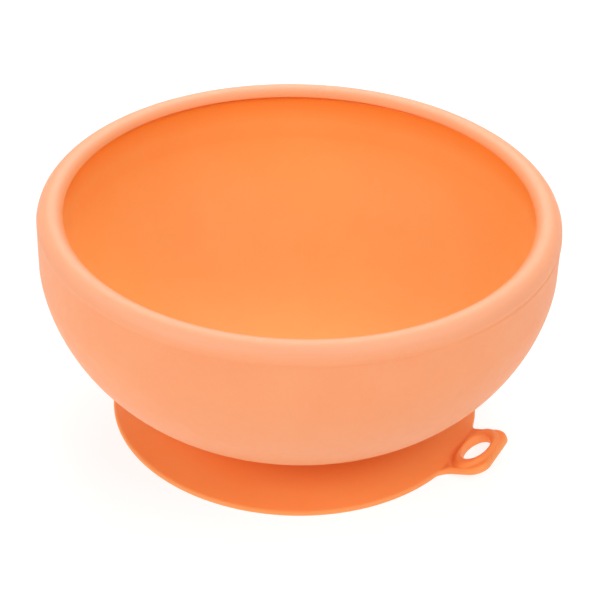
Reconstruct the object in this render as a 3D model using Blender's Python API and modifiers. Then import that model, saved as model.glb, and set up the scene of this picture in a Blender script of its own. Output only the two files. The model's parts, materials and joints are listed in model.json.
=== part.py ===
"""Suction bowl for a baby: a two-colour silicone bowl on a suction foot with a pull tab.

Frame: +Z up, origin on the table under the centre of the foot, +X towards the pull tab.
Metres throughout. Run with: blender --background --python part.py
"""

import math

import bmesh
import bpy

# ---- driving dimensions, in metres ----
BOWL_RADIUS = 0.0625
BOWL_HEIGHT = 0.0592
RIM_RADIUS = 0.0033          # the rounded rim's cross-section
SHOULDER_Z = 0.045           # the outer wall is upright above this height
SHELL_WALL = 0.0025
LINER_WALL = 0.0024
GAP = 0.0003                 # between two pieces that touch
WALL_POWER_Z = 1.63          # the wall's curve: (r/R) ** POWER_R + u ** POWER_Z = 1
WALL_POWER_R = 3.25

OUTSIDE_POLE_Z = 0.0054      # where the outer wall's curve would reach the axis
SHELL_FLOOR_Z = 0.0076       # underside of the shell's flat floor
INSIDE_POLE_Z = 0.0126       # lowest point of the food surface
LINER_UNDERSIDE_Z = 0.0106
LINER_POLE_Z = 0.0100        # where the liner's outer curve would reach the axis
SHELL_POLE_Z = 0.0097        # where the shell's inner curve would reach the axis
RIM_JOINT_ANGLE = 23         # degrees above level, where the rim's lip ends on its inner side
JOINT_Z = 0.0562             # height of the joint between shell and liner, inside the rim
JOINT_RISE = 0.0014          # the joint falls by this much towards the outer wall
LINER_TOP_Z = 0.0563

STEM_RADIUS = 0.022
CROWN_RADIUS = 0.026         # the thick middle of the suction cup
CROWN_TOP_Z = 0.0062
CROWN_UNDERSIDE_Z = 0.0036
LIP_RADIUS = 0.0462
LIP_EDGE = 0.0011            # the lip's thickness at its outer edge
LIP_EDGE_ROUND = 0.0004
LIP_INNER_RADIUS = 0.038     # where the sealing lip takes over from the dome
SEAL_RADIUS = 0.040          # the underside is flat on the table outside this
DOME_TOP_POWER = 1.5
DOME_UNDERSIDE_POWER = 1.2

TAB_TILT = 18.5              # degrees above level
TAB_HINGE_Z = 0.001
TAB_LENGTH = 0.0102
TAB_ROOT_HALF_WIDTH = 0.0092
TAB_TIP_HALF_WIDTH = 0.0093
TAB_CORNER = 0.0043
TAB_THICKNESS = 0.0018
TAB_ROOT_CLEARANCE = 0.0005  # from the hinge line to the tab's root face
BEAD_CENTRE = 0.0045         # the centre of bead and hole, out from the hinge line
BEAD_HALF_LENGTH = 0.0086
BEAD_HALF_WIDTH = 0.0050
BEAD_HEIGHT = 0.0007         # above the tab's top face
HOLE_HALF_LENGTH = 0.0053
HOLE_HALF_WIDTH = 0.0032
TAB_EDGE_ROUND = 0.0004
TAB_EDGE_SEGMENTS = 2
SHARP_ANGLE = 50             # edges that turn by more than this many degrees are rounded
CUT_DEPTH = 0.01             # cutters reach this far above and below the tab

# ---- how finely curves are divided ----
TURN_STEPS = 64
STEM_STEPS = 32
WALL_POINTS = 10
INNER_RIM_POINTS = 4
OUTER_RIM_POINTS = 6
SKIRT_POINTS = 4
LIP_EDGE_POINTS = 3
TAB_CORNER_POINTS = 7
OVAL_POINTS = 40
MERGE = 0.00005              # points of a turned profile closer than this become one
CAP_MERGE = 0.000005
EMPTY_SIZE = 0.01

PEACH = (0.93, 0.36, 0.17, 1.0)
ORANGE = (0.96, 0.39, 0.11, 1.0)
SILICONE_ROUGHNESS = 0.55


# ---- profiles, as (r, z) points ----
def between(first, last, count):
    """count numbers spread evenly from first to last, both included."""
    return [first + (last - first) * i / (count - 1) for i in range(count)]


def arc(centre_r, centre_z, radius, start, end, count):
    """Points on a circle from start to end, in degrees from the outward level direction."""
    return [
        (centre_r + radius * math.cos(math.radians(a)), centre_z + radius * math.sin(math.radians(a)))
        for a in between(start, end, count)
    ]


def wall_curve(radius, pole_z, floor_z, count):
    """The bowl's side from its shoulder down to floor_z, or to the axis where floor_z is the pole."""
    depth = SHOULDER_Z - pole_z
    share = (SHOULDER_Z - floor_z) / depth
    last = math.asin(min(1.0, share ** (WALL_POWER_Z / 2)))
    points = []
    for a in between(0, last, count):
        r = radius * max(math.cos(a), 0.0) ** (2 / WALL_POWER_R)
        z = SHOULDER_Z - depth * math.sin(a) ** (2 / WALL_POWER_Z)
        points.append((r if r > MERGE else 0.0, z))
    return points


def wall_height(radius, pole_z, r):
    """Height of the bowl's side where its radius is r."""
    share = (1 - (r / radius) ** WALL_POWER_R) ** (1 / WALL_POWER_Z)
    return SHOULDER_Z - (SHOULDER_Z - pole_z) * share


def dome_top(r):
    share = (LIP_RADIUS - r) / (LIP_RADIUS - CROWN_RADIUS)
    return LIP_EDGE + (CROWN_TOP_Z - LIP_EDGE) * share ** DOME_TOP_POWER


def dome_underside(r):
    if r >= SEAL_RADIUS:
        return 0.0
    share = (SEAL_RADIUS - r) / (SEAL_RADIUS - CROWN_RADIUS)
    return CROWN_UNDERSIDE_Z * share ** DOME_UNDERSIDE_POWER


# ---- making objects ----
def clear_scene():
    for obj in list(bpy.data.objects):
        bpy.data.objects.remove(obj)


def silicone(name, colour):
    material = bpy.data.materials.new(name)
    material.use_nodes = True
    shader = material.node_tree.nodes["Principled BSDF"]
    shader.inputs["Base Color"].default_value = colour
    shader.inputs["Roughness"].default_value = SILICONE_ROUGHNESS
    shader.inputs["Metallic"].default_value = 0.0
    return material


def empty(name, collection, location=(0, 0, 0)):
    obj = bpy.data.objects.new(name, None)
    obj.location = location
    obj.empty_display_size = EMPTY_SIZE
    collection.objects.link(obj)
    return obj


def turned(name, outline, closed, steps, material, collection, parent):
    """A solid of revolution about Z, whose outline runs down its outer side, and back up inside if closed."""
    mesh = bpy.data.meshes.new(name)
    verts = [(r, 0.0, z) for r, z in outline]
    edges = [(i, i + 1) for i in range(len(verts) - 1)]
    if closed:
        edges.append((len(verts) - 1, 0))
    mesh.from_pydata(verts, edges, [])
    mesh.materials.append(material)
    obj = bpy.data.objects.new(name, mesh)
    collection.objects.link(obj)
    obj.parent = parent
    screw = obj.modifiers.new("turn", "SCREW")
    screw.steps = steps
    screw.render_steps = steps
    screw.use_merge_vertices = True
    screw.merge_threshold = MERGE
    screw.use_smooth_shade = True
    return obj


def prism(name, outline, low, high, collection):
    """An upright prism of a flat (x, y) outline, between the heights low and high, as a mesh."""
    curve = bpy.data.curves.new(name, "CURVE")
    curve.dimensions = "2D"
    curve.fill_mode = "BOTH"
    curve.extrude = (high - low) / 2
    spline = curve.splines.new("POLY")
    spline.points.add(len(outline) - 1)
    for point, (x, y) in zip(spline.points, outline):
        point.co = (x, y, 0.0, 1.0)
    spline.use_cyclic_u = True
    guide = bpy.data.objects.new(name + "_outline", curve)
    collection.objects.link(guide)
    graph = bpy.context.evaluated_depsgraph_get()
    mesh = bpy.data.meshes.new_from_object(guide.evaluated_get(graph))
    bpy.data.objects.remove(guide)
    shape = bmesh.new()
    shape.from_mesh(mesh)
    bmesh.ops.remove_doubles(shape, verts=shape.verts, dist=CAP_MERGE)
    bmesh.ops.translate(shape, verts=shape.verts, vec=(0, 0, (low + high) / 2))
    bmesh.ops.recalc_face_normals(shape, faces=shape.faces)
    shape.to_mesh(mesh)
    shape.free()
    obj = bpy.data.objects.new(name, mesh)
    collection.objects.link(obj)
    return obj


def boolean(obj, other, operation):
    modifier = obj.modifiers.new(operation.lower() + "_" + other.name, "BOOLEAN")
    modifier.operation = operation
    modifier.solver = "EXACT"
    modifier.object = other
    return modifier


# ---- the pieces ----
def make_outer_shell(material, collection, parent):
    """The peach outer wall: it rolls over the rim and ends in a lip that overhangs the liner's top edge."""
    rim_centre_r = BOWL_RADIUS - RIM_RADIUS
    rim_centre_z = BOWL_HEIGHT - RIM_RADIUS
    inside_radius = BOWL_RADIUS - SHELL_WALL
    hole_radius = STEM_RADIUS + GAP
    outline = arc(rim_centre_r, rim_centre_z, RIM_RADIUS, 180 - RIM_JOINT_ANGLE, 90, INNER_RIM_POINTS)
    outline += arc(rim_centre_r, rim_centre_z, RIM_RADIUS, 90, 0, OUTER_RIM_POINTS)[1:]
    outline += wall_curve(BOWL_RADIUS, OUTSIDE_POLE_Z, SHELL_FLOOR_Z, WALL_POINTS)
    outline.append((hole_radius, SHELL_FLOOR_Z))
    outline.append((hole_radius, wall_height(inside_radius, SHELL_POLE_Z, hole_radius)))
    inside = wall_curve(inside_radius, SHELL_POLE_Z, SHELL_POLE_Z, WALL_POINTS)
    outline += [point for point in inside[::-1] if point[0] > hole_radius + GAP]
    outline.append((inside_radius, JOINT_Z - JOINT_RISE))
    outline.append((rim_centre_r, JOINT_Z))
    return turned("outer_shell", outline, True, TURN_STEPS, material, collection, parent)


def make_inner_liner(material, collection, parent):
    """The orange food surface, whose top edge sits just under the rim's lip."""
    outside_radius = BOWL_RADIUS - SHELL_WALL - GAP
    inside_radius = outside_radius - LINER_WALL
    outline = wall_curve(inside_radius, INSIDE_POLE_Z, INSIDE_POLE_Z, WALL_POINTS)[::-1]
    outline.append((inside_radius, LINER_TOP_Z))
    outline.append((BOWL_RADIUS - RIM_RADIUS - GAP, JOINT_Z - GAP))
    outline.append((outside_radius, JOINT_Z - JOINT_RISE))
    outline += wall_curve(outside_radius, LINER_POLE_Z, LINER_UNDERSIDE_Z, WALL_POINTS)
    outline.append((0.0, LINER_UNDERSIDE_Z))
    return turned("inner_liner", outline, False, TURN_STEPS, material, collection, parent)


def make_suction_stem(material, collection, parent):
    """The middle of the suction cup and the stem that passes through the shell's floor."""
    outline = [
        (0.0, LINER_UNDERSIDE_Z - GAP),
        (STEM_RADIUS, LINER_UNDERSIDE_Z - GAP),
        (STEM_RADIUS, CROWN_TOP_Z + GAP),
        (CROWN_RADIUS, CROWN_TOP_Z),
        (CROWN_RADIUS, CROWN_UNDERSIDE_Z),
        (0.0, CROWN_UNDERSIDE_Z),
    ]
    return turned("suction_stem", outline, False, STEM_STEPS, material, collection, parent)


def make_suction_dome(material, collection, parent):
    """The thin cone that flattens when the bowl is pressed down."""
    radii = between(CROWN_RADIUS + GAP, LIP_INNER_RADIUS - GAP, SKIRT_POINTS)
    outline = [(r, dome_top(r)) for r in radii]
    outline += [(r, dome_underside(r)) for r in radii[::-1]]
    return turned("suction_dome", outline, True, TURN_STEPS, material, collection, parent)


def make_sealing_lip(material, collection, parent):
    """The foot's flat outer ring, which grips the table."""
    edge = LIP_RADIUS - LIP_EDGE_ROUND
    radii = between(LIP_INNER_RADIUS, edge, SKIRT_POINTS)
    outline = [(r, dome_top(r)) for r in radii[:-1]]
    outline += arc(edge, LIP_EDGE - LIP_EDGE_ROUND, LIP_EDGE_ROUND, 90, 0, LIP_EDGE_POINTS)
    outline += arc(edge, LIP_EDGE_ROUND, LIP_EDGE_ROUND, 0, -90, LIP_EDGE_POINTS)
    outline.append((SEAL_RADIUS, 0.0))
    outline.append((LIP_INNER_RADIUS, dome_underside(LIP_INNER_RADIUS)))
    return turned("sealing_lip", outline, True, TURN_STEPS, material, collection, parent)


def tab_outline():
    """The tab seen square on: it runs back past its root, and widens to a tip with round corners."""
    slope = (TAB_TIP_HALF_WIDTH - TAB_ROOT_HALF_WIDTH) / TAB_LENGTH
    lean = math.degrees(math.atan(slope))
    turn = 90 + lean
    setback = TAB_CORNER * math.tan(math.radians(turn / 2))
    centre_x = TAB_LENGTH - TAB_CORNER
    centre_y = TAB_TIP_HALF_WIDTH - setback
    upper = arc(centre_x, centre_y, TAB_CORNER, 0, turn, TAB_CORNER_POINTS)
    upper.append((-TAB_THICKNESS, TAB_ROOT_HALF_WIDTH - slope * TAB_THICKNESS))
    return upper + [(x, -y) for x, y in upper[::-1]]


def oval(half_x, half_y):
    """An ellipse about the bead's centre."""
    angles = [2 * math.pi * i / OVAL_POINTS for i in range(OVAL_POINTS)]
    return [(BEAD_CENTRE + half_x * math.cos(a), half_y * math.sin(a)) for a in angles]


def round_edges(obj, width):
    bevel = obj.modifiers.new("round_edges", "BEVEL")
    bevel.width = width
    bevel.segments = TAB_EDGE_SEGMENTS
    bevel.limit_method = "ANGLE"
    bevel.angle_limit = math.radians(SHARP_ANGLE)


def make_pull_tab(material, collection, cutters, parent):
    """A tilted tab with an oval hole inside a raised oval bead."""
    half = TAB_THICKNESS / 2
    tab = prism("pull_tab", tab_outline(), -half, half, collection)
    round_edges(tab, TAB_EDGE_ROUND)
    bead = prism("bead", oval(BEAD_HALF_WIDTH, BEAD_HALF_LENGTH), 0.0, half + BEAD_HEIGHT, cutters)
    round_edges(bead, TAB_EDGE_ROUND)
    hole = prism("tab_hole", oval(HOLE_HALF_WIDTH, HOLE_HALF_LENGTH), -CUT_DEPTH, CUT_DEPTH, cutters)
    side = 2 * BOWL_RADIUS
    root_slice = [(-side, -side), (TAB_ROOT_CLEARANCE, -side), (TAB_ROOT_CLEARANCE, side), (-side, side)]
    root = prism("tab_root", root_slice, -CUT_DEPTH, CUT_DEPTH, cutters)
    boolean(tab, bead, "UNION")
    boolean(tab, root, "DIFFERENCE")
    boolean(tab, hole, "DIFFERENCE")
    for piece in (tab, bead, root, hole):
        piece.parent = parent
    tab.data.materials.append(material)
    return tab


def main():
    clear_scene()
    scene = bpy.context.scene
    parts = bpy.data.collections.new("suction_bowl")
    cutters = bpy.data.collections.new("cutters")
    scene.collection.children.link(parts)
    scene.collection.children.link(cutters)
    peach = silicone("peach_silicone", PEACH)
    orange = silicone("orange_silicone", ORANGE)

    foot = empty("foot", parts)
    bowl = empty("suction_press", parts)
    hinge = empty("tab_lift", parts, (LIP_RADIUS, 0, TAB_HINGE_Z))
    hinge.rotation_euler.y = -math.radians(TAB_TILT)

    make_outer_shell(peach, parts, bowl)
    make_inner_liner(orange, parts, bowl)
    make_suction_stem(orange, parts, bowl)
    make_suction_dome(orange, parts, foot)
    make_sealing_lip(orange, parts, foot)
    make_pull_tab(orange, parts, cutters, hinge)
    for cutter in cutters.objects:
        cutter.hide_render = True
        cutter.display_type = "WIRE"


main()
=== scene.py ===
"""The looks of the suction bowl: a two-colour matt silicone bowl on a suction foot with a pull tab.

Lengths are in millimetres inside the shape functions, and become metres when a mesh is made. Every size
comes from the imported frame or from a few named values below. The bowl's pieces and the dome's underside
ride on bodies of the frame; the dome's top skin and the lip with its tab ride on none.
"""

import json
import math

import bmesh
import bpy
import numpy as np
from mathutils import Matrix, Vector
from mathutils.geometry import delaunay_2d_cdt


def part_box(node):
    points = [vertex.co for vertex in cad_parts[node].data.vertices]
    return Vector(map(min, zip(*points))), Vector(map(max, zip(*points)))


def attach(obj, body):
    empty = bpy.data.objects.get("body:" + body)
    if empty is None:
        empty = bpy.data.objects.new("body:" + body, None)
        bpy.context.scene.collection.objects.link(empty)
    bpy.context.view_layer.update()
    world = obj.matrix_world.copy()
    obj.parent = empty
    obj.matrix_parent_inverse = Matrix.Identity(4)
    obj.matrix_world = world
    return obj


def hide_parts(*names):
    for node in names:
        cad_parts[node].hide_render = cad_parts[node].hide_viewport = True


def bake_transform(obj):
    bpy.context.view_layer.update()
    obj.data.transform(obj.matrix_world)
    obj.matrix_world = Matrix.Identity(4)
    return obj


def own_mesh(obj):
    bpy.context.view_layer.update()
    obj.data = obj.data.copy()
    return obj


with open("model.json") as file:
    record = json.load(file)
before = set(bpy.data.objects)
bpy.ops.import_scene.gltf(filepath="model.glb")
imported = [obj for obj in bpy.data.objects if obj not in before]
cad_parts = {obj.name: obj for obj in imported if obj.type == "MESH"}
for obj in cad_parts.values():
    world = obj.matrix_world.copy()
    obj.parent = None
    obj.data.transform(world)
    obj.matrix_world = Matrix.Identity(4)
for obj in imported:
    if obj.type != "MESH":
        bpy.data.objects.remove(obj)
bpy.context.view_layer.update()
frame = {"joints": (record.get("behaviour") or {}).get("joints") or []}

MM = 0.001


def corner(node, high, axis):
    """One coordinate of a CAD node's box, in millimetres."""
    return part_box(node)[1 if high else 0][axis] / MM


joint = {j["name"]: j for j in frame["joints"]}

# ---- the bowl's two walls ----
BOWL_RADIUS = corner("outer_shell", True, 0)
BOWL_HEIGHT = corner("outer_shell", True, 2)
SHELL_FLOOR = corner("outer_shell", False, 2)
LINER_OUTSIDE = corner("inner_liner", True, 0)
LINER_UNDERSIDE = corner("inner_liner", False, 2)
RIM = 3.3  # radius of the rim's rounding
RIM_R = BOWL_RADIUS - RIM
RIM_Z = BOWL_HEIGHT - RIM
RIM_END = 12  # where the rounding goes over into the upright wall, in degrees round the rim
LIP_ANGLE = 157  # where the rim's lip ends, inside the bowl, in degrees round the rim
LIP_R = RIM_R + RIM * math.cos(math.radians(LIP_ANGLE))
LIP_Z = RIM_Z + RIM * math.sin(math.radians(LIP_ANGLE))
LIP_EDGE_ROUND = 0.22
SHOULDER = 45.0  # the walls are upright above this height
WALL_POWER_Z = 1.63  # below it they are superellipses, with these two powers
WALL_POWER_R = 3.25
OUTSIDE_POLE = 5.4  # where the curve of the bowl's outside would meet its axis
INSIDE_POLE = 12.6  # where the curve of its inside does, in the middle of its floor
LINER_POLE = LINER_UNDERSIDE - 0.6  # where the curve of the liner's hidden side would meet it
LINER_WALL = 2.4
LINER_EDGE_Z = 56.15  # the liner's edge is rounded above this, tucked up under the rim's lip
LINER_EDGE_ROUND = 0.45
JOINT_Z = 56.2  # height of the joint between shell and liner, inside the rim
JOINT_RISE = 1.4  # the joint falls by this much towards the outer wall
GAP = 0.3  # between shell, liner and stem
PARTING_Z = 55.0  # the mould's parting line, under the rim
PARTING_FLASH = 0.20  # how far the line's fine flash stands proud, on the side where the halves met worst
PARTING_RISE = 0.50  # the flash stands out gradually over this height, down to its sharp lower edge
PARTING_FALL = 0.05
PARTING_SIDE = math.radians(-15)  # the middle of that side

# ---- the foot ----
STEM_RADIUS = 22.0
STEM_TOP = corner("suction_stem", True, 2)
CROWN_RADIUS = corner("suction_stem", True, 0)
CROWN_UNDERSIDE = corner("suction_stem", False, 2)
CROWN_TOP = corner("suction_dome", True, 2)
FLARE_REACH = 2.6  # length of the tangent along which the flare runs into the dome's top
FOOT_RADIUS = corner("sealing_lip", True, 0)
FOOT_EDGE = 1.1  # thickness of the sealing lip at its edge
SEAL_RADIUS = 40.0  # the underside is flat on the table outside this
SEAM_RADIUS = 41.5  # dome and lip meet here, where neither moves
DOME_TOP_POWER = 1.5
DOME_UNDERSIDE_POWER = 1.2
GATE_RADIUS = 4.0  # the shallow round recess where the mould was filled
GATE_DEPTH = 0.35
GATE_SLOPE = 0.6
NUB_RADIUS = 0.9  # the gate's mark, in the middle of its recess
NUB_HEIGHT = 0.15
NUB_SLOPE = 0.3
SKIN = 0.45  # the dome is two skins, so that top and underside can flex apart

# ---- the pull tab, laid flat: x runs out from the bowl's axis ----
HINGE = Vector(joint["tab_lift"]["pos_m"]) / MM
TAB_TILT = math.radians(18.5)
TAB_LENGTH = 10.2
TAB_ROOT_HALF = 9.2
TAB_TIP_HALF = 9.3
TAB_CORNER = 4.3
TAB_FILLET = 3.2
TAB_TOP = 1.8  # height of its top, and of its underside
TAB_UNDER = 0.1
TAB_BEND = 1.5  # the tab turns up over this length each side of the hinge line
ROOT_BLEND = 1.2  # lip and tab go over into each other this far each side of the lip's edge
ROOT_SIDE = 12.0  # this far from the tab's middle line there is only the lip
ROOT_SIDE_BLEND = 1.5
SHEET_ROUND = 0.9  # the largest rounding of the sheet's edges
SQUARENESS = 2.6  # 2 is a half-round edge, and more is a flatter one with tighter corners
BEAD = (4.5, 5.1, 8.8)  # the bead's oval: its centre beyond the lip's edge, half width, half length
BEAD_HEIGHT = 0.8
BEAD_SLOPE = 1.2
BEAD_AT_HOLE = 0.7  # the share of its height that the bead keeps at the hole's edge
GROOVE_DEPTH = 0.4  # the groove runs outside the bead, on the bowl's side
GROOVE_AWAY = 0.35
GROOVE_WIDTH = 0.42
GROOVE_END = 6.0  # it has faded out this far beyond the lip's edge
GROOVE_FADE = 4.0
HOLE = (4.5, 3.2, 5.3)  # the hole's oval, given like the bead's
HOLE_ROUND = 0.35
FOOT_CHAMFER = 0.15  # the underside's edges are nearly sharp

TURN_STEPS = 224  # vertices round a turned piece
SAME_POINT = 1e-5  # points closer than this are one point
ON_AXIS = 1e-4  # a smaller radius is 0
WELD = 2e-7  # vertices closer than this, in metres, are welded


# ---- curves, as (r, z) points ----
def arc(centre_r, centre_z, radius, start, end, count):
    """Points on a circle from start to end, in degrees from the outward level direction."""
    angles = np.radians(np.linspace(start, end, count))
    return list(zip(centre_r + radius * np.cos(angles), centre_z + radius * np.sin(angles)))


def wall_curve(radius, pole, floor, count):
    """The bowl's side from its shoulder down to the height of its floor."""
    share = (SHOULDER - floor) / (SHOULDER - pole)
    last = math.asin(min(1.0, share ** (WALL_POWER_Z / 2)))
    a = np.linspace(0, last, count)
    r = radius * np.clip(np.cos(a), 0, 1) ** (2 / WALL_POWER_R)
    z = SHOULDER - (SHOULDER - pole) * np.sin(a) ** (2 / WALL_POWER_Z)
    r[r < ON_AXIS] = 0.0
    return list(zip(r, z))


def line(first, last, count):
    """Points on a straight line, both ends included."""
    return list(zip(np.linspace(first[0], last[0], count), np.linspace(first[1], last[1], count)))


def bezier(first, control, last, count):
    """Points on a curve that leaves first towards control, and reaches last from its direction."""
    t = np.linspace(0, 1, count)[:, None]
    a, b, c = (np.array(p) for p in (first, control, last))
    return [tuple(p) for p in (1 - t) ** 2 * a + 2 * t * (1 - t) * b + t**2 * c]


def smoothstep(t):
    """Goes smoothly from 0, at t = 0 and below, to 1, at t = 1 and above."""
    t = np.clip(t, 0, 1)
    return t * t * (3 - 2 * t)


def dome_top(r):
    """Height of the foot's top at a distance from the axis."""
    share = (FOOT_RADIUS - r) / (FOOT_RADIUS - CROWN_RADIUS)
    return FOOT_EDGE + (CROWN_TOP - FOOT_EDGE) * np.clip(share, 0, None) ** DOME_TOP_POWER


def dome_underside(r):
    """Height of the foot's underside at a distance from the axis."""
    share = np.clip((SEAL_RADIUS - r) / (SEAL_RADIUS - CROWN_RADIUS), 0, None)
    return CROWN_UNDERSIDE * share**DOME_UNDERSIDE_POWER


# ---- meshes ----
def make_piece(name, vertices, faces, material, crease=40):
    """A smooth-shaded closed mesh, from vertices in millimetres, with sharp edges above crease degrees."""
    mesh = bpy.data.meshes.new(name)
    mesh.from_pydata([tuple(v) for v in np.asarray(vertices) * MM], [], faces)
    shape = bmesh.new()
    shape.from_mesh(mesh)
    bmesh.ops.remove_doubles(shape, verts=shape.verts, dist=WELD)
    bmesh.ops.recalc_face_normals(shape, faces=shape.faces)
    shape.to_mesh(mesh)
    shape.free()
    mesh.shade_smooth()
    mesh.set_sharp_from_angle(angle=math.radians(crease))
    mesh.materials.append(material)
    piece = bpy.data.objects.new(name, mesh)
    bpy.context.scene.collection.objects.link(piece)
    return piece


def turned(name, outline, material, shaping=None, steps=TURN_STEPS):
    """A solid of revolution of a closed outline. shaping moves the vertices of the finished array."""
    outline = [p for i, p in enumerate(outline) if math.dist(p, outline[i - 1]) > SAME_POINT]
    vertices, rings = [], []
    angles = np.arange(steps) * 2 * math.pi / steps
    for r, z in outline:
        start = len(vertices)
        if r == 0:
            vertices.append((0, 0, z))
            rings.append([start] * steps)
        else:
            vertices += list(zip(r * np.cos(angles), r * np.sin(angles), np.full(steps, z)))
            rings.append(list(range(start, start + steps)))
    faces = []
    for i in range(len(rings)):
        upper, lower = rings[i - 1], rings[i]
        for k in range(steps):
            n = (k + 1) % steps
            corners = [upper[k], upper[n], lower[n], lower[k]]
            face = [v for j, v in enumerate(corners) if v != corners[j - 1]]
            if len(face) > 2:
                faces.append(face)
    vertices = np.array(vertices, float)
    if shaping:
        vertices = shaping(vertices)
    return make_piece(name, vertices, faces, material)


# ---- materials ----
class Nodes:
    """A short way to add and link shader nodes. An input is given by its name, or by _ and its number."""

    def __init__(self, name):
        self.material = bpy.data.materials.new(name)
        self.material.use_nodes = True
        self.tree = self.material.node_tree
        self.shader = self.tree.nodes["Principled BSDF"]

    def add(self, kind, settings=None, **inputs):
        node = self.tree.nodes.new(kind)
        for key, value in (settings or {}).items():
            setattr(node, key, value)
        for key, value in inputs.items():
            socket = node.inputs[int(key[1:])] if key[1:].isdigit() else node.inputs[key.replace("_", " ")]
            if isinstance(value, bpy.types.NodeSocket):
                self.tree.links.new(value, socket)
            else:
                socket.default_value = value
        return node

    def noise(self, point, scale, detail=2.0):
        return self.add("ShaderNodeTexNoise", Vector=point, Scale=scale, Detail=detail).outputs["Fac"]

    def ranged(self, value, low, high, to_low, to_high):
        node = self.add(
            "ShaderNodeMapRange", _0=value, From_Min=low, From_Max=high, To_Min=to_low, To_Max=to_high
        )
        return node.outputs["Result"]

    def mixed(self, share, first, second):
        node = self.add("ShaderNodeMix", {"data_type": "RGBA"}, _0=share, _6=first, _7=second)
        return node.outputs[2]


PALER = 0.2  # how far dust and sheen are from the moulded colour towards white
DEEPER = 1.06  # the power that deepens the moulded colour where it drifts

# the scale of each noise: a larger one is a finer pattern
DRIFT = 55.0
MOTTLE = 900.0
DUST = 2600.0
SATIN = 420.0
SOFT_GRAIN = 1300.0
FINE_GRAIN = 5200.0


def height(nodes, point):
    """Height above the table."""
    return nodes.add("ShaderNodeSeparateXYZ", _0=point).outputs[2]


def from_axis(nodes, point):
    """Distance from the bowl's axis."""
    xyz = nodes.add("ShaderNodeSeparateXYZ", _0=point).outputs
    level = nodes.add("ShaderNodeCombineXYZ", _0=xyz[0], _1=xyz[1]).outputs[0]
    return nodes.add("ShaderNodeVectorMath", {"operation": "LENGTH"}, _0=level).outputs["Value"]


def from_lip(nodes, point):
    """Distance from the circle along which the rim's lip ends."""
    circle = (LIP_R * MM, LIP_Z * MM, 0.0)
    section = nodes.add("ShaderNodeCombineXYZ", _0=from_axis(nodes, point), _1=height(nodes, point))
    apart = nodes.add("ShaderNodeVectorMath", {"operation": "DISTANCE"}, _0=section.outputs[0], _1=circle)
    return apart.outputs["Value"]


def silicone(name, colour, roughness, painted_bands=(), scatter=0.15):
    """Matt silicone: a moulded colour that drifts a little, pale specks of dust, and a fine satin grain.

    A band (measure, start, full, tint) paints light and shade into the colour: it goes over to the tint as
    the measure, one of the functions above, goes from start to full, in millimetres. scatter is the share of
    light that spreads inside the silicone.
    """
    light = (*(c + PALER * (1 - c) for c in colour), 1.0)
    deep = (*(c**DEEPER for c in colour), 1.0)
    colour = (*colour, 1.0)
    nodes = Nodes(name)
    point = nodes.add("ShaderNodeTexCoord").outputs["Object"]
    drift = nodes.ranged(nodes.noise(point, DRIFT, 3.0), 0.35, 0.65, 0.0, 1.0)
    mottle = nodes.ranged(nodes.noise(point, MOTTLE, 4.0), 0.3, 0.7, 0.0, 0.35)
    specks = nodes.ranged(nodes.noise(point, DUST, 1.0), 0.70, 0.78, 0.0, 0.30)
    base = nodes.mixed(drift, colour, deep)
    base = nodes.mixed(mottle, base, colour)
    for measure, start, full, tint in painted_bands:
        share = nodes.ranged(measure(nodes, point), start * MM, full * MM, 0.0, 1.0)
        base = nodes.mixed(share, base, (*tint, 1.0))
    base = nodes.mixed(specks, base, light)
    nodes.tree.links.new(base, nodes.shader.inputs["Base Color"])
    rough = nodes.ranged(nodes.noise(point, SATIN, 3.0), 0.3, 0.7, roughness - 0.05, roughness + 0.05)
    nodes.tree.links.new(rough, nodes.shader.inputs["Roughness"])
    fine = nodes.noise(point, FINE_GRAIN, 2.0)
    soft = nodes.noise(point, SOFT_GRAIN, 3.0)
    bump = nodes.add("ShaderNodeBump", Strength=0.22, Distance=0.00006, Height=fine)
    bump = nodes.add("ShaderNodeBump", Strength=0.12, Distance=0.00012, Height=soft, Normal=bump.outputs[0])
    nodes.tree.links.new(bump.outputs[0], nodes.shader.inputs["Normal"])
    shader = nodes.shader.inputs
    shader["IOR"].default_value = 1.41
    shader["Subsurface Weight"].default_value = scatter
    shader["Subsurface Radius"].default_value = (1.0, 0.36, 0.2)
    shader["Subsurface Scale"].default_value = 0.0022
    shader["Sheen Weight"].default_value = 0.05
    shader["Sheen Roughness"].default_value = 0.45
    shader["Sheen Tint"].default_value = light
    return nodes.material


# the rim's rolled edge is paler, a painted highlight; painted shade deepens the colours round the rim's lip,
# where its overhang shades the bowl's inside, and the foot's towards the middle, under the bowl; the foot
# has no scatter, because light would leak through the dome's thin skins
peach = silicone(
    "peach_silicone",
    (0.930, 0.345, 0.150),
    0.50,
    # painted highlight on the rim's top, and painted shade next to its lip
    painted_bands=[(height, 55.0, 58.2, (0.950, 0.402, 0.217)), (from_lip, 2.6, 0.4, (0.935, 0.345, 0.135))],
)
liner_orange = silicone(
    # painted shade under the rim's overhanging lip
    "liner_silicone", (0.960, 0.415, 0.118), 0.60, painted_bands=[(from_lip, 8.0, 1.3, (0.955, 0.290, 0.040))]
)
foot_orange = silicone(
    "foot_silicone",
    (0.985, 0.350, 0.100),
    0.50,
    # painted shade under the bowl, deepest towards the middle
    painted_bands=[(from_axis, 40.0, 29.0, (0.995, 0.250, 0.050))],
    scatter=0.0,
)


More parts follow.
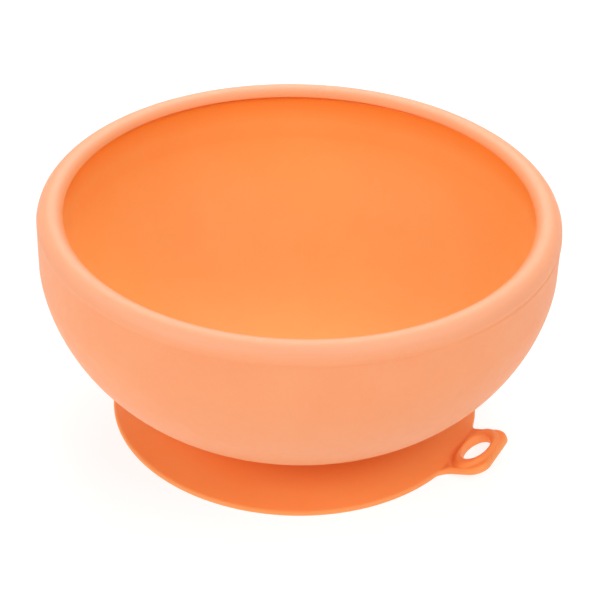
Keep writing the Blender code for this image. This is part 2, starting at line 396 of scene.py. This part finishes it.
# ---- the bowl ----
def rim_lip():
    """The rounded edge of the rim's lip, whose underside runs out and down to the joint.

    Gives where round the rim the edge ends, in degrees, the edge's points, and the underside's other end.
    """
    tip, joint_end = np.array((LIP_R, LIP_Z)), np.array((RIM_R, JOINT_Z))
    along = (joint_end - tip) / np.linalg.norm(joint_end - tip)
    up = np.array((-along[1], along[0]))
    # the edge's circle touches the underside, and the rim's circle from inside
    rim_centre = np.array((RIM_R, RIM_Z))
    start = tip + up * LIP_EDGE_ROUND - rim_centre
    back = start @ along
    reach = RIM - LIP_EDGE_ROUND
    centre = rim_centre + start - along * (back + math.sqrt(back**2 - start @ start + reach**2))
    out = math.degrees(math.atan2(*(centre - rim_centre)[::-1]))
    down = math.degrees(math.atan2(*(-up)[::-1])) % 360
    return out, arc(centre[0], centre[1], LIP_EDGE_ROUND, down, out, 9), tuple(joint_end)


def flash(vertices):
    """The mould's parting line under the rim: a ridge of flash that fades out on the bowl's other side."""
    r = np.hypot(vertices[:, 0], vertices[:, 1])
    angle = np.arctan2(vertices[:, 1], vertices[:, 0])
    wander = 0.04 * np.sin(3 * angle + 2)
    unevenness = 1 + 0.12 * np.sin(7 * angle + 1) + 0.08 * np.sin(17 * angle)
    below = PARTING_Z + wander - vertices[:, 2]
    side = (0.5 + 0.5 * np.cos(angle - PARTING_SIDE)) ** 2
    rise = np.clip(1 + below / PARTING_RISE, 0, 1)
    fall = np.exp(-((below / PARTING_FALL) ** 2))
    move = PARTING_FLASH * side * unevenness * np.where(below < 0, rise, fall)
    move[r < (BOWL_RADIUS + LINER_OUTSIDE) / 2] = 0  # the wall's inner side has none
    scale = (r + move) / np.where(r > 0, r, 1)
    vertices[:, 0] *= scale
    vertices[:, 1] *= scale
    return vertices


def make_shell():
    """The peach wall: from its lip over the rim, down its outside, and up the side that the liner hides."""
    out, edge, joint_end = rim_lip()
    inside_radius = LINER_OUTSIDE + GAP
    inside_pole = LINER_POLE - GAP
    hole = STEM_RADIUS + GAP
    floor_ring = hole + 3.0
    # the wall's points lie close together round the parting line
    fine_top, fine_end, coarse_top = RIM_Z + 0.6, PARTING_Z - 1.1, PARTING_Z - 1.3
    lean = 0.005
    outline = edge + arc(RIM_R, RIM_Z, RIM, out, RIM_END, 60)[1:]
    outline += line((BOWL_RADIUS - lean, fine_top), (BOWL_RADIUS, fine_end), 50)[1:]
    outline += line((BOWL_RADIUS, coarse_top), (BOWL_RADIUS, SHOULDER), 20)
    outline += wall_curve(BOWL_RADIUS, OUTSIDE_POLE, SHELL_FLOOR, 110)[1:]
    outline += line((floor_ring, SHELL_FLOOR), (hole, SHELL_FLOOR), 3)
    inside = wall_curve(inside_radius, inside_pole, inside_pole, 40)
    outline += [p for p in inside[::-1] if p[0] > hole + GAP]
    outline += [(inside_radius, JOINT_Z - JOINT_RISE), joint_end]
    return turned("bowl_shell", outline, peach, flash)


def make_liner():
    """The orange wall: up its inside from the middle of its floor, over its edge, and down its outside."""
    inside = LINER_OUTSIDE - LINER_WALL
    outline = wall_curve(inside, INSIDE_POLE, INSIDE_POLE, 120)[::-1]
    outline += line((inside, SHOULDER), (inside, LINER_EDGE_Z), 24)[1:]
    outline += arc(inside + LINER_EDGE_ROUND, LINER_EDGE_Z, LINER_EDGE_ROUND, 180, 75, 7)[1:]
    outline += [(RIM_R - GAP, JOINT_Z - GAP), (LINER_OUTSIDE, JOINT_Z - JOINT_RISE)]
    outline += wall_curve(LINER_OUTSIDE, LINER_POLE, LINER_UNDERSIDE, 40)
    outline.append((0.0, LINER_UNDERSIDE))
    return turned("bowl_liner", outline, liner_orange)


# ---- the foot ----
def make_stem():
    """The solid middle of the foot: it flares from the stem into the dome's top."""
    slope = DOME_TOP_POWER * (CROWN_TOP - FOOT_EDGE) / (FOOT_RADIUS - CROWN_RADIUS)
    flare_r, flare_z = STEM_RADIUS + 1.0, SHELL_FLOOR - 0.1
    control = (CROWN_RADIUS - FLARE_REACH, CROWN_TOP + FLARE_REACH * slope)
    gate_z = CROWN_UNDERSIDE + GATE_DEPTH
    nub_z = gate_z - NUB_HEIGHT
    outline = [(0.0, STEM_TOP), (STEM_RADIUS, STEM_TOP), (STEM_RADIUS, flare_z)]
    outline += bezier((flare_r, flare_z), control, (CROWN_RADIUS, CROWN_TOP), 16)
    outline += line((CROWN_RADIUS, CROWN_UNDERSIDE), (GATE_RADIUS + GATE_SLOPE, CROWN_UNDERSIDE), 14)
    outline += line((GATE_RADIUS, gate_z), (NUB_RADIUS + NUB_SLOPE, gate_z), 6)
    outline += [(NUB_RADIUS, nub_z), (0.0, nub_z)]
    return turned("suction_stem_and_crown", outline, foot_orange)


def make_dome_top():
    radii = np.linspace(CROWN_RADIUS, SEAM_RADIUS, 40)
    outline = list(zip(radii, dome_top(radii)))
    outline += list(zip(radii[::-1], dome_top(radii[::-1]) - SKIN))
    return turned("dome_top_skin", outline, foot_orange)


def make_dome_underside():
    radii = np.linspace(CROWN_RADIUS, SEAM_RADIUS, 40)
    outline = list(zip(radii, dome_underside(radii) + SKIN))
    outline += list(zip(radii[::-1], dome_underside(radii[::-1])))
    return turned("dome_underside_skin", outline, foot_orange)


# ---- the sealing lip and its tab, one skin ----
def polar(centre, radius, start, end, count):
    """Points on a circle about centre from start to end, in radians, as an array of (x, t)."""
    turn = np.linspace(start, end, count)
    return np.column_stack((centre[0] + radius * np.cos(turn), centre[1] + radius * np.sin(turn)))


def sheet_outline(inset):
    """The outline of lip and tab laid flat, moved inwards by inset: half of it, and its mirror image."""
    lean = math.atan((TAB_TIP_HALF - TAB_ROOT_HALF) / TAB_LENGTH)
    side = np.array((math.cos(lean), math.sin(lean)))
    root = np.array((FOOT_RADIUS, TAB_ROOT_HALF)) + TAB_FILLET * np.array((-side[1], side[0]))
    # the fillet's centre lies TAB_FILLET outside both the lip's circle and the tab's side
    reach = FOOT_RADIUS + TAB_FILLET
    fillet = root + side * (math.sqrt((root @ side) ** 2 - root @ root + reach**2) - root @ side)
    lip_angle = math.atan2(fillet[1], fillet[0])
    corner_x = FOOT_RADIUS + TAB_LENGTH - TAB_CORNER
    corner_t = TAB_ROOT_HALF + (TAB_LENGTH - TAB_CORNER) * math.tan(lean) - TAB_CORNER / math.cos(lean)
    lip = polar((0, 0), FOOT_RADIUS - inset, math.pi, lip_angle, 150)
    curve = polar(fillet, TAB_FILLET + inset, lip_angle + math.pi, lean + 1.5 * math.pi, 9)
    tip = polar((corner_x, corner_t), TAB_CORNER - inset, math.pi / 2 + lean, 0, 18)
    straight = np.linspace(curve[-1], tip[0], 16)[1:-1]
    half = np.vstack((lip, curve[1:], straight, tip))
    end = np.linspace(half[-1], half[-1] * (1, -1), 26)[1:-1]
    return np.vstack((half, end, half[:0:-1] * (1, -1)))


def oval_outline(oval, outset, count):
    """An oval of the laid-flat tab, moved outwards by outset."""
    centre, half_x, half_t = oval
    turn = np.arange(count) * 2 * math.pi / count
    loop = np.column_stack((half_x * np.cos(turn), half_t * np.sin(turn)))
    normal = np.column_stack((np.cos(turn) / half_x, np.sin(turn) / half_t))
    normal /= np.linalg.norm(normal, axis=1)[:, None]
    return loop + outset * normal + (FOOT_RADIUS + centre, 0)


def outside_oval(oval, p):
    """Distance outside an oval of the laid-flat tab, negative inside it."""
    centre, half_x, half_t = oval
    dx, t = p[:, 0] - FOOT_RADIUS - centre, p[:, 1]
    rho = np.hypot(dx / half_x, t / half_t) + 1e-9
    steepness = np.hypot(dx / half_x**2, t / half_t**2) / rho
    return (rho - 1) / np.maximum(steepness, 1 / half_t)


def within_outline(p):
    """Distance inside the outline of lip and tab, negative outside it."""
    loop = sheet_outline(0)
    a, b = loop[None], np.roll(loop, -1, 0)[None]
    q = p[:, None]
    share = np.clip(((q - a) * (b - a)).sum(2) / ((b - a) ** 2).sum(2), 0, 1)[..., None]
    distance = np.linalg.norm(q - a - share * (b - a), axis=2).min(1)
    above = (a[..., 1] > q[..., 1]) != (b[..., 1] > q[..., 1])
    rise = np.where(b[..., 1] == a[..., 1], 1, b[..., 1] - a[..., 1])
    meets = a[..., 0] + (q[..., 1] - a[..., 1]) / rise * (b[..., 0] - a[..., 0])
    crossings = (above & (q[..., 0] < meets)).sum(1)
    return np.where(crossings % 2 == 1, distance, -distance)


def rounded(t):
    """How far a rounded edge has risen, from 0 at its outline, t = 0, to 1 at its full height, t = 1."""
    return (1 - (1 - np.clip(t, 0, 1)) ** SQUARENESS) ** (1 / SQUARENESS)


def sheet_heights(p, inset):
    """(underside, top) of lip and tab laid flat, with the top's edges rounded over."""
    x, t = p[:, 0], p[:, 1]
    out = smoothstep((x - FOOT_RADIUS + ROOT_BLEND) / (2 * ROOT_BLEND))
    out *= smoothstep((ROOT_SIDE - np.abs(t)) / ROOT_SIDE_BLEND)
    top = dome_top(np.minimum(np.hypot(x, t), FOOT_RADIUS)) * (1 - out) + TAB_TOP * out
    oval, hole = -outside_oval(BEAD, p), outside_oval(HOLE, p)
    # bead and groove fade out over the last millimetre before the sheet's edge
    past_hole = smoothstep(hole / BEAD_SLOPE)
    bead = smoothstep(oval / BEAD_SLOPE) * (BEAD_AT_HOLE + (1 - BEAD_AT_HOLE) * past_hole)
    top = top + BEAD_HEIGHT * bead * smoothstep(inset - 0.1)
    bowl_side = smoothstep((FOOT_RADIUS + GROOVE_END - x) / GROOVE_FADE)
    groove = np.exp(-(((oval + GROOVE_AWAY) / GROOVE_WIDTH) ** 2))
    top = top - GROOVE_DEPTH * groove * bowl_side * smoothstep(inset - 0.3)
    under = TAB_UNDER * out
    seat = under + FOOT_CHAMFER
    above = rounded(inset / np.minimum(top - seat, SHEET_ROUND)) * rounded(hole / HOLE_ROUND)
    below = rounded(inset / FOOT_CHAMFER) * rounded(hole / FOOT_CHAMFER)
    return seat - (seat - under) * below, seat + (top - seat) * above


def turned_up(p, z):
    """Bends the flat tab upwards about the hinge line, to its resting tilt."""
    start = HINGE.x - TAB_BEND
    radius = 2 * TAB_BEND / TAB_TILT
    s = np.clip(p[:, 0] - start, 0, None)
    angle = np.minimum(s / radius, TAB_TILT)
    beyond = np.maximum(s - 2 * TAB_BEND, 0)
    x = np.minimum(p[:, 0], start) + radius * np.sin(angle) + beyond * math.cos(TAB_TILT)
    middle = HINGE.z + radius * (1 - np.cos(angle)) + beyond * math.sin(TAB_TILT)
    raised = z - HINGE.z
    return np.column_stack((x - raised * np.sin(angle), p[:, 1], middle + raised * np.cos(angle)))


def sheet_points():
    """Points of the laid-flat sheet: its three boundary loops first, and how many points each has."""
    # loops beside each edge, closest together where its rounding is steepest, and one more just past it
    rounding = 1 - np.cos(np.radians(np.linspace(0, 90, 9)))
    past = 0.2
    seam_turn = np.arange(TURN_STEPS) * 2 * math.pi / TURN_STEPS
    seam = SEAM_RADIUS * np.column_stack((np.cos(seam_turn), np.sin(seam_turn)))
    bounds = [sheet_outline(0), oval_outline(HOLE, 0, 84), seam]
    counts = [len(b) for b in bounds]
    inner = [sheet_outline(d) for d in (*(SHEET_ROUND * rounding[1:]), SHEET_ROUND + past)]
    around_hole = [oval_outline(HOLE, d, 84) for d in (*(HOLE_ROUND * rounding[1:]), HOLE_ROUND + past)]
    # circles round the lip, left out where the tab's finer points are
    tab_start, tab_side, ring_step = 43.0, 11.5, 0.45
    radii = np.arange(SEAM_RADIUS + ring_step, FOOT_RADIUS - 1.2, ring_step)
    rings = np.vstack([seam * r / SEAM_RADIUS for r in radii])
    rings = rings[(rings[:, 0] < tab_start) | (np.abs(rings[:, 1]) > tab_side)]
    # ovals that follow the bead's edge and the groove beside it, and a lattice of triangles elsewhere
    ovals_low, ovals_high, margin = -1.2, 0.9, 0.2
    ovals = np.vstack([oval_outline(BEAD, d, 120) for d in np.linspace(ovals_low, ovals_high, 12)])
    step_x, step_t = 0.3, 0.26
    rows, columns = range(-40, 41), range(44)
    lattice = [(tab_start + step_x * (c + 0.5 * (r % 2)), step_t * r) for r in rows for c in columns]
    lattice = np.array(lattice)
    off_ovals = np.abs(outside_oval(BEAD, lattice) - (ovals_low + ovals_high) / 2)
    lattice = lattice[off_ovals > (ovals_high - ovals_low) / 2 + margin]
    fine = np.vstack((ovals, lattice))
    # the fine points keep clear of the loops beside the edges
    fine = fine[within_outline(fine) > SHEET_ROUND + 0.35]
    fine = fine[outside_oval(HOLE, fine) > HOLE_ROUND + 0.3]
    fine = fine[np.hypot(fine[:, 0], fine[:, 1]) > SEAM_RADIUS + 0.3]
    return np.vstack(bounds + inner + around_hole + [rings, fine]), counts


def make_lip_and_tab():
    """Triangulates the laid-flat sheet, gives it a top and an underside, and turns the tab up."""
    p, counts = sheet_points()
    starts = np.cumsum([0] + counts)
    bounds = [list(range(starts[i], starts[i + 1])) for i in range(3)]
    rims = [[b[k], b[(k + 1) % len(b)]] for b in bounds for k in range(len(b))]
    made = delaunay_2d_cdt([Vector(q) for q in p], rims, [], 0, 1e-6, True)
    if len(made[0]) != len(p):
        raise RuntimeError(f"the sheet's points meet: {len(made[0])} of {len(p)}")
    origin = [ids[0] for ids in made[3]]
    # a triangle with all its corners on one boundary loop lies outside the sheet
    loop_of = {v: i for i, b in enumerate(bounds) for v in b}
    triangles = []
    for face in made[2]:
        triangle = [origin[v] for v in face]
        loops = {loop_of.get(v, -1) for v in triangle}
        if loops not in ({0}, {1}, {2}):
            triangles.append(triangle)
    under, top = sheet_heights(p, within_outline(p).clip(0))
    vertices = np.vstack((turned_up(p, top), turned_up(p, under)))
    n = len(p)
    faces = triangles + [[v + n for v in t[::-1]] for t in triangles]
    seam = bounds[2]
    for k, v in enumerate(seam):
        w = seam[(k + 1) % len(seam)]
        faces.append([v, w, w + n, v + n])
    return make_piece("sealing_lip_and_tab", vertices, faces, foot_orange)


# ---- the pieces, some of them riding on the frame ----
def put_together():
    shell, liner, stem = make_shell(), make_liner(), make_stem()
    for piece in (shell, liner, stem):
        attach(piece, "bowl")
    top, underside, lip = make_dome_top(), make_dome_underside(), make_lip_and_tab()
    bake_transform(top)
    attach(underside, "foot")
    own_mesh(underside)
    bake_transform(lip)
    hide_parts("outer_shell")
    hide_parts("inner_liner")
    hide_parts("suction_stem")
    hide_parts("suction_dome")
    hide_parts("sealing_lip", "pull_tab")


# ---- the studio, in metres ----
VIEW_AZIMUTH = math.radians(27.0)
VIEW_REACH = 0.37045
VIEW_HEIGHT = 0.27810
TARGET_ASIDE = 0.00066
TARGET_HEIGHT = 0.03026
VIEW_ROLL = math.radians(1.578)
LENS = 108.16
AWAY = Vector((math.sin(VIEW_AZIMUTH), -math.cos(VIEW_AZIMUTH), 0))  # from the bowl towards the camera
ASIDE = Vector((math.cos(VIEW_AZIMUTH), math.sin(VIEW_AZIMUTH), 0))  # to the camera's right
UP = Vector((0, 0, 1))
FLOOR_HALF = 30.0
SOFTBOX_SIZE = 1.0


def make_camera():
    camera = bpy.data.objects.new("camera", bpy.data.cameras.new("camera"))
    camera.data.lens = LENS
    camera.data.clip_start = 0.01
    camera.data.clip_end = 20
    camera.location = AWAY * VIEW_REACH + UP * VIEW_HEIGHT
    looking = ASIDE * TARGET_ASIDE + UP * TARGET_HEIGHT - camera.location
    level = looking.to_track_quat("-Z", "Y").to_matrix().to_4x4()
    camera.matrix_world = Matrix.Translation(camera.location) @ level @ Matrix.Rotation(VIEW_ROLL, 4, "Z")
    bpy.context.scene.collection.objects.link(camera)
    bpy.context.scene.camera = camera


def make_floor():
    """A pale floor, which glows a little so that it stays near white."""
    mesh = bpy.data.meshes.new("floor")
    half = FLOOR_HALF
    corners = [(-half, -half, 0), (half, -half, 0), (half, half, 0), (-half, half, 0)]
    mesh.from_pydata(corners, [], [(0, 1, 2, 3)])
    floor = bpy.data.objects.new("floor", mesh)
    bpy.context.scene.collection.objects.link(floor)
    nodes = Nodes("white_floor")
    nodes.shader.inputs["Base Color"].default_value = (0.29, 0.31, 0.31, 1.0)
    nodes.shader.inputs["Roughness"].default_value = 0.9
    nodes.shader.inputs["Specular IOR Level"].default_value = 0.0
    nodes.shader.inputs["Emission Color"].default_value = (1.0, 1.0, 1.0, 1.0)
    nodes.shader.inputs["Emission Strength"].default_value = 0.78
    mesh.materials.append(nodes.material)


def softbox(name, place, power):
    """A round soft light, aimed at the middle of the bowl."""
    light = bpy.data.lights.new(name, "AREA")
    light.shape = "DISK"
    light.size = SOFTBOX_SIZE
    light.energy = power
    lamp = bpy.data.objects.new(name, light)
    lamp.location = place
    lamp.rotation_euler = (UP * TARGET_HEIGHT - place).to_track_quat("-Z", "Y").to_euler()
    bpy.context.scene.collection.objects.link(lamp)


def make_lights():
    softbox("front_left", AWAY * 0.9 - ASIDE * 0.9 + UP * 0.7, 8.0)
    softbox("left", UP * 0.6 - ASIDE * 1.1, 2.0)
    softbox("front_right", AWAY * 0.7 + ASIDE * 0.9 + UP * 0.7, 3.4)
    softbox("right_high", AWAY * 0.45 + ASIDE * 0.6 + UP * 1.2, 6.4)
    softbox("back_high", UP - AWAY * 0.8, 9.4)
    softbox("back_low", UP * 0.65 - AWAY * 1.1, 2.4)
    world = bpy.data.worlds.new("studio")
    bpy.context.scene.world = world
    world.use_nodes = True
    background = world.node_tree.nodes["Background"]
    background.inputs["Color"].default_value = (1.0, 1.0, 1.0, 1.0)
    background.inputs["Strength"].default_value = 0.2


put_together()
make_floor()
make_lights()
make_camera()
bpy.context.scene.view_settings.view_transform = "Standard"
